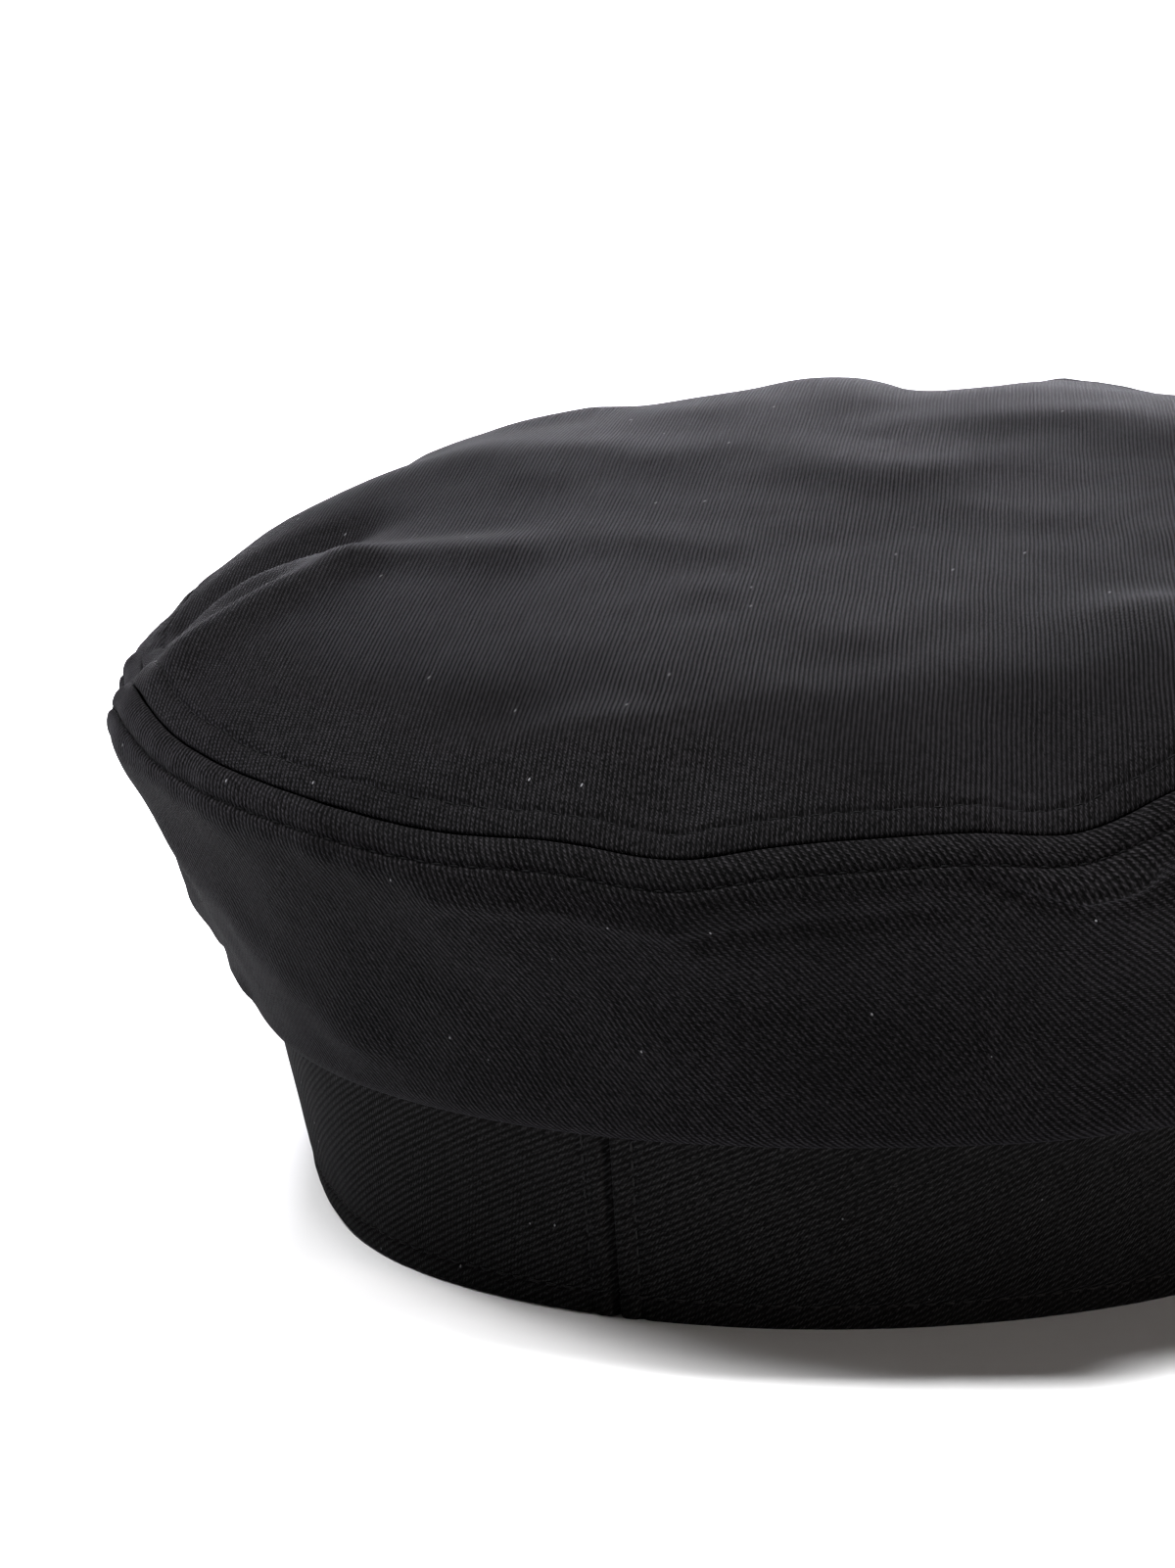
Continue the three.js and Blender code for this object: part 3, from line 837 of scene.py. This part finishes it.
band_cloth_thickness = 0.9
hem_round = 1.0
hem_stitches = 4.0  # from the lower edge to the hem's stitching
back_seam = 3  # the seam's angle, a little round from the centre back
back_stitches = 4.0  # from the back seam to the stitching on each side of it
back_allowance = 8
back_allowance_wall = 0.9
back_seam_groove = 1.8
back_stitch_groove = 0.5
hem_groove = 0.5
band_lump = 0.4
band_lump_size = 30
small_band_lump = 0.16
small_band_lump_size = 11
hem_pucker = 0.26
hem_pucker_size = 4.5
hem_radius = 93
held_height = 31  # above this the roll holds the band flat
# The band's colour in the weave's hollows is painted shade as well.
band_hollow_shade = (0.0013, 0.0013, 0.0013, 1)
band_faded = (0.0125, 0.0122, 0.0126, 1)
band_cloth = make_twill("band_cloth", band_hollow_shade, band_faded, 1.0, 0.008)


@lru_cache(None)
def band_face(angle, z):
    """The band's outer face, as (r, z)."""
    arc = math.radians(turn_between(back_seam, angle)) * band_radius(back_seam, z)
    seam = -back_seam_groove * math.exp(-((arc / 0.5) ** 2))
    seam += 0.3 * math.exp(-(((abs(arc) - 2.2) / 1.6) ** 2))
    beside = -back_stitch_groove * math.exp(-(((abs(arc) - back_stitches) / 0.7) ** 2))
    hem = -hem_groove * math.exp(-(((z - hem_stitches) / 0.6) ** 2))
    spot = Vector((math.radians(angle % 360) * hem_radius, z))
    lumps = band_lump * swell(spot, band_lump_size, 12)
    lumps += small_band_lump * swell(spot, small_band_lump_size, 13)
    near_hem = math.exp(-((z / 7) ** 2))
    pucker = hem_pucker * swell(spot, hem_pucker_size, 14) * near_hem
    free = min(1, z / 3, max(0, (held_height - z) / 5))
    return Vector((band_radius(angle, z) + seam + beside + hem + (lumps + pucker) * free, z))


band_rows_outside = 40
band_rows_inside = 16
hem_row_step = 0.35


@lru_cache(None)
def band_section(angle):
    """The band's sheet in one section: down its outer face, round the hem and up inside."""
    steps = range(band_rows_outside, 0, -1)
    outer = [band_height * step / band_rows_outside for step in steps]
    outer = [z for z in outer if z > hem_stitches + 2]
    z = hem_stitches + 1.8
    while z > hem_round + 0.2:
        outer.append(z)
        z -= hem_row_step
    points = [band_face(angle, z) for z in outer]
    edge = band_face(angle, hem_round)
    centre = edge - Vector((hem_round, 0))
    for step in range(turn_steps + 1):
        a = math.radians(180 / turn_steps * step)
        points.append(centre + hem_round * Vector((math.cos(a), -math.sin(a))))
    arc = abs(math.radians(turn_between(back_seam, angle)) * band_radius(back_seam, 0))
    thick = back_allowance_wall * min(1, max(0, (back_allowance + 0.9 - arc) / 0.9))
    for step in range(1, band_rows_inside + 1):
        z = hem_round + (band_height - hem_round) * step / band_rows_inside
        r = band_radius(angle, z) - 2 * hem_round - thick * min(1, step / 2)
        points.append(Vector((r, z)))
    return points


@lru_cache(None)
def band_lengths(angle):
    """How far along the flat cloth each point of the band's section is from its outer top."""
    points = band_section(angle)
    lengths = [0]
    for here, after in zip(points, points[1:]):
        lengths.append(lengths[-1] + (after - here).length)
    return lengths


band_wale_angle = 29.3
band_bend = math.radians(7.8)  # how far the wales lean over one way and the other round the band
band_middle_radius = 95


def band_flat(angle, length):
    """A spot on the band's flat cloth, from its angle and its distance from the outer top."""
    a = math.radians(angle)
    spot = Vector((a, band_bend * (1 - math.cos(a)))) * band_middle_radius
    return turned(spot + Vector((band_bend * math.sin(a), -1)) * length, band_wale_angle)


def crowd_at_back(turn):
    """Draws the mesh's columns together at the back seam."""
    return turn_between(0, back_seam + turn * (1 - 0.66 * math.exp(-((turn / 14) ** 4))))


headband = spun_sheet(
    "headband_cloth",
    band_section,
    band_lengths,
    band_flat,
    10,
    back_seam,
    band_cloth,
    crowd_at_back,
)
headband.modifiers["cloth thickness"].thickness = band_cloth_thickness * mm
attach(headband, "root")
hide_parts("headband")

# Topstitching
# Rows of black polyester thread, about eight stitches to the inch. They run either side of the
# rim seam, round the band's hem, and up each side of its back seam.

stitch_length = 2.95
stitch_share = 0.43  # half of a stitch's length, as a share of the pitch from one to the next
thread_radius = 0.17
stitch_rise = 0.16
stitch_dive = 2.2
end_taper = 2.4


def make_thread(name, deep, pale):
    """Polyester sewing thread: twisted, a little shinier than the cloth."""
    material = bpy.data.materials.new(name)
    material.use_nodes = True
    tree = material.node_tree
    shader = tree.nodes["Principled BSDF"]
    place = node_with(tree, "ShaderNodeTexCoord")
    twist = reading(tree, "ShaderNodeTexNoise", place.outputs["Object"], Scale=4000.0)
    ramp = node_with(tree, "ShaderNodeMix", data_type="RGBA")
    tree.links.new(twist.outputs["Fac"], ramp.inputs[0])
    ramp.inputs[6].default_value = deep
    ramp.inputs[7].default_value = pale
    strands = node_with(tree, "ShaderNodeBump")
    plug(tree, strands, Height=twist.outputs["Fac"], Distance=0.05 * mm)
    plug(tree, shader, Base_Color=ramp.outputs[2], Roughness=0.6, Normal=strands.outputs[0])
    plug(tree, shader, Specular_IOR_Level=0.03)
    return material


# One black thread in two colours: darker on the crown as painted shade in its stitch grooves, and
# paler on the band as a painted highlight on its stitches.
shaded_crown_thread = make_thread("shaded_crown_thread", (0.0006, 0.0006, 0.0007, 1), (0.004, 0.004, 0.0044, 1))
lit_band_thread = make_thread("lit_band_thread", (0.003, 0.003, 0.003, 1), (0.015, 0.0145, 0.015, 1))


def thread_row(name, places, thread):
    """A row of stitches. places are (start, end, outward) in metres, and each stitch bows up
    between its holes."""
    pattern = bmesh.new()
    bmesh.ops.create_cone(
        pattern, segments=6, radius1=thread_radius, radius2=thread_radius, depth=1, cap_ends=True
    )
    rungs = [e for e in pattern.edges if abs(e.verts[0].co.z - e.verts[1].co.z) > 0.5]
    bmesh.ops.subdivide_edges(pattern, edges=rungs, cuts=4)
    one = bpy.data.meshes.new("one_stitch")
    pattern.to_mesh(one)
    pattern.free()
    bm = bmesh.new()
    for start, end, outward in places:
        known = len(bm.verts)
        bm.from_mesh(one)
        bm.verts.ensure_lookup_table()
        way = end - start
        side = way.normalized().cross(outward)
        for vert in bm.verts[known:]:
            share = vert.co.z
            taper = 1 - end_taper * share**4
            bow = (stitch_rise - stitch_dive * share**2) * mm
            spot = start.lerp(end, share + 0.5) + outward * bow
            vert.co = spot + (side * vert.co.x + outward * vert.co.y) * mm * taper
    bmesh.ops.recalc_face_normals(bm, faces=bm.faces)
    mesh = bpy.data.meshes.new(name)
    bm.to_mesh(mesh)
    bm.free()
    bpy.data.meshes.remove(one)
    mesh.shade_smooth()
    mesh.materials.append(thread)
    piece = bpy.data.objects.new(name, mesh)
    bpy.context.scene.collection.objects.link(piece)
    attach(piece, "root")


def on_cap(angle, point):
    """The place in metres of an (r, z) point at an angle."""
    spot = cap_middle + plan(angle, point.x)
    return Vector((spot.x, spot.y, point.y)) * mm


inside_crown = Vector((0, 0, 60)) * mm


def round_row(face, distance, radius):
    """Stitches all round the cap at a distance along a face, about radius from the middle."""
    count = round(2 * math.pi * radius / stitch_length)
    pitch = 360 / count
    places = []
    for i in range(count):
        middle = i * pitch - 180
        first = middle - stitch_share * pitch
        last = middle + stitch_share * pitch
        start = on_cap(first, face(first, distance))
        end = on_cap(last, face(last, distance))
        across = on_cap(middle, face(middle, distance + 1))
        across -= on_cap(middle, face(middle, distance - 1))
        outward = (end - start).cross(across).normalized()
        spot = on_cap(middle, face(middle, distance))
        if outward.dot(spot - inside_crown) < 0:
            outward.negate()
        places.append((start, end, outward))
    return places


top_places = round_row(top_face, stitch_margin, 112)
thread_row("topstitch_top", top_places, shaded_crown_thread)
side_places = round_row(side_face, stitch_margin, 120)
thread_row("topstitch_side", side_places, shaded_crown_thread)
hem_places = round_row(band_face, hem_stitches, 94)
thread_row("topstitch_hem", hem_places, lit_band_thread)
back_places = []
for arc in (-back_stitches, back_stitches):
    angle = back_seam + math.degrees(arc / band_radius(back_seam, band_height / 2))
    z = hem_stitches + 0.3
    while z + stitch_length < band_height:
        start = on_cap(angle, band_face(angle, z + 0.2))
        end = on_cap(angle, band_face(angle, z + stitch_length - 0.2))
        back_places.append((start, end, Vector((plan(angle, 1).x, plan(angle, 1).y, 0))))
        z += stitch_length
thread_row("topstitch_back_seam", back_places, lit_band_thread)

# Floor, light and camera
# A plain pale floor under broad soft studio light that comes from above, from behind and from
# the left, with a weak warm one low on the right. A long lens looks down on the cap's back.

floor_bm = bmesh.new()
bmesh.ops.create_grid(floor_bm, x_segments=1, y_segments=1, size=6)
bmesh.ops.translate(floor_bm, verts=floor_bm.verts, vec=(0, 0, -0.0001))
floor_mesh = bpy.data.meshes.new("floor")
floor_bm.to_mesh(floor_mesh)
floor_bm.free()
floor = bpy.data.objects.new("floor", floor_mesh)
bpy.context.scene.collection.objects.link(floor)
floor_paint = bpy.data.materials.new("pale_floor")
floor_paint.use_nodes = True
plug(
    floor_paint.node_tree,
    floor_paint.node_tree.nodes["Principled BSDF"],
    Base_Color=(0.86, 0.86, 0.87, 1),
    Roughness=0.8,
    Specular_IOR_Level=0.1,
)
floor_mesh.materials.append(floor_paint)

world = bpy.data.worlds.new("studio")
world.use_nodes = True
plug(world.node_tree, world.node_tree.nodes["Background"], Color=(1, 0.95, 0.91, 1), Strength=0.05)
bpy.context.scene.world = world
bpy.context.scene.view_settings.view_transform = "Standard"


def soft_light(name, place, target, size, power, colour=(1, 1, 1)):
    """A square light panel that faces a target."""
    data = bpy.data.lights.new(name, "AREA")
    data.shape = "SQUARE"
    data.size = size
    data.energy = power
    data.color = colour
    light = bpy.data.objects.new(name, data)
    light.location = place
    light.rotation_euler = (Vector(target) - Vector(place)).to_track_quat("-Z", "Y").to_euler()
    bpy.context.scene.collection.objects.link(light)


soft_light("overhead_panel", (0.04, -0.08, 2.3), (0, 0, 0.05), 0.6, 165)
soft_light("left_panel", (-0.98, -0.45, 2.05), (0, 0, 0.05), 0.6, 65)
soft_light("back_panel", (-0.67, 1.46, 1.6), (0, 0, 0.08), 0.8, 28, (0.95, 0.93, 1))
soft_light("low_back_panel", (-0.8, 2.0, 0.34), (0, 0, 0.08), 0.7, 85, (0.92, 0.91, 1))
soft_light("right_panel", (1.95, -0.35, 0.24), (0, 0, 0.03), 0.3, 21, (1, 0.91, 0.85))

view_azimuth = math.radians(24.6)
view_elevation = math.radians(18.5)
view_distance = 1.2
focal_pixels = 7440
frame_size = Vector((1200, 1601))
origin_pixel = Vector((870, 1157))  # where the frame's origin shows in the photograph
from_cap = Vector(
    (
        math.sin(view_azimuth) * math.cos(view_elevation),
        -math.cos(view_azimuth) * math.cos(view_elevation),
        math.sin(view_elevation),
    )
)
right = Vector((math.cos(view_azimuth), math.sin(view_azimuth), 0))
up = right.cross(-from_cap)
offset = frame_size / 2 - origin_pixel
aim = -from_cap * focal_pixels + right * offset.x - up * offset.y
camera_data = bpy.data.cameras.new("camera")
camera_data.sensor_fit = "AUTO"
camera_data.sensor_width = 36
camera_data.lens = 36 * focal_pixels / frame_size.y
camera = bpy.data.objects.new("camera", camera_data)
camera.location = from_cap * view_distance
camera.rotation_euler = aim.to_track_quat("-Z", "Y").to_euler()
bpy.context.scene.collection.objects.link(camera)
bpy.context.scene.camera = camera
